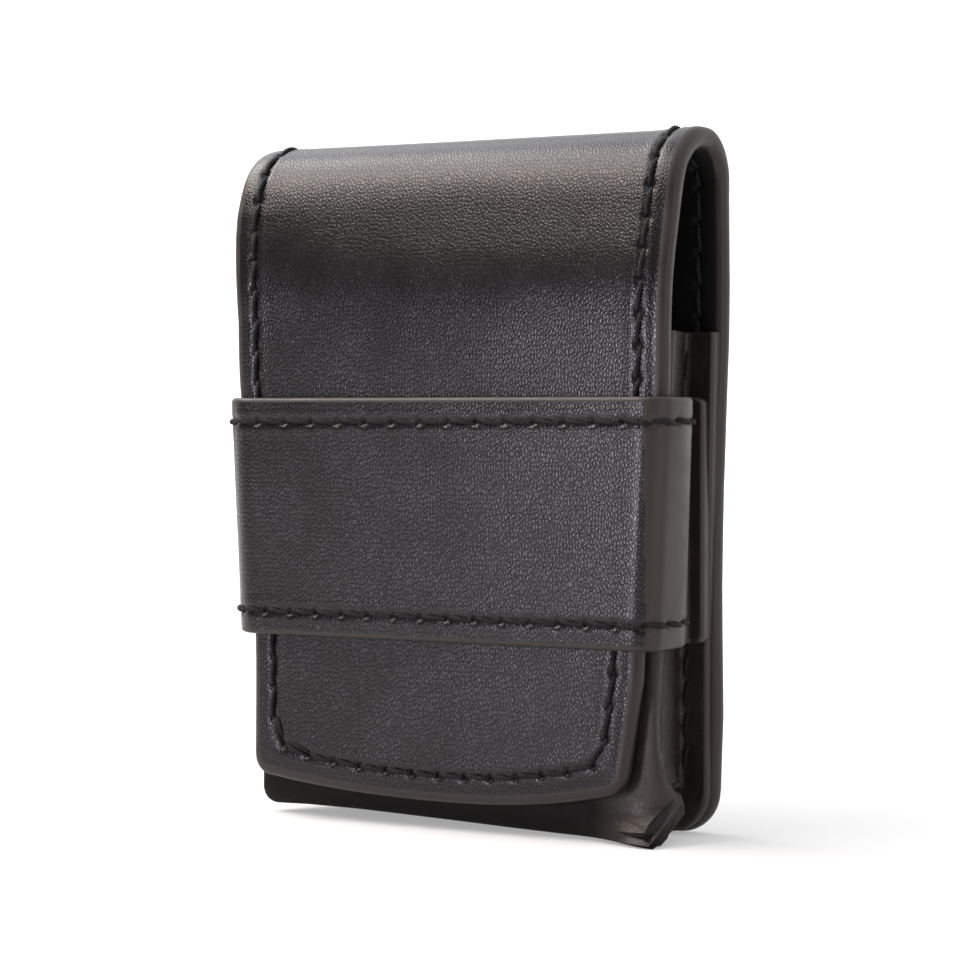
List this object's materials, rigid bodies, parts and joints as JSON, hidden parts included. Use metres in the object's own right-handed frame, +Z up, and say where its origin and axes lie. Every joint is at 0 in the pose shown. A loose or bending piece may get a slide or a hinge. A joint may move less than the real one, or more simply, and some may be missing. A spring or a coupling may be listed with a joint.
{
  "type": "lighter case",
  "caption": "Slim stand-up leather case for a pocket lighter, with a moulded pocket, a stitched band and a front flap that tucks under the band.",
  "frame": {"origin": "centre of the bounding box in plan, on the surface the case stands on", "axes": "+Z up, the case's height; -Y is the side with the flap and the band; +X to the right of someone facing the flap"},
  "size_m": [0.0568, 0.0194, 0.0753],
  "materials": {
    "outer_leather": "fine pebbled grain, semi-matt, black-brown with a violet cast",
    "lining_leather": "smooth matt black lining",
    "pocket_leather": "smooth moulded black-brown leather",
    "band_leather": "fine pebbled grain, semi-matt, painted edges",
    "band_backing": "smooth matt black backing",
    "thread": "twisted waxed black thread"
  },
  "bodies": {
    "case": {"back_outer": "outer_leather", "back_lining": "lining_leather", "back_thread": "thread", "pocket": "pocket_leather", "band_outer": "band_leather", "band_lining": "band_backing", "band_thread_top": "thread", "band_thread_bottom": "thread", "seam_thread_left_low": "thread", "seam_thread_left_high": "thread", "seam_thread_right_low": "thread", "seam_thread_right_high": "thread"},
    "flap": {"flap_outer": "outer_leather", "flap_lining": "lining_leather", "flap_thread": "thread"}
  },
  "joints": [
    {"name": "flap_hinge", "type": "hinge", "parent": "case", "child": "flap", "pos_m": [0.00005, 0.00257, 0.07485], "axis": [-1, 0, 0], "range_deg": [0, 150], "deforming": ["band_outer", "band_lining", "band_thread_top", "band_thread_bottom"]}
  ]
}
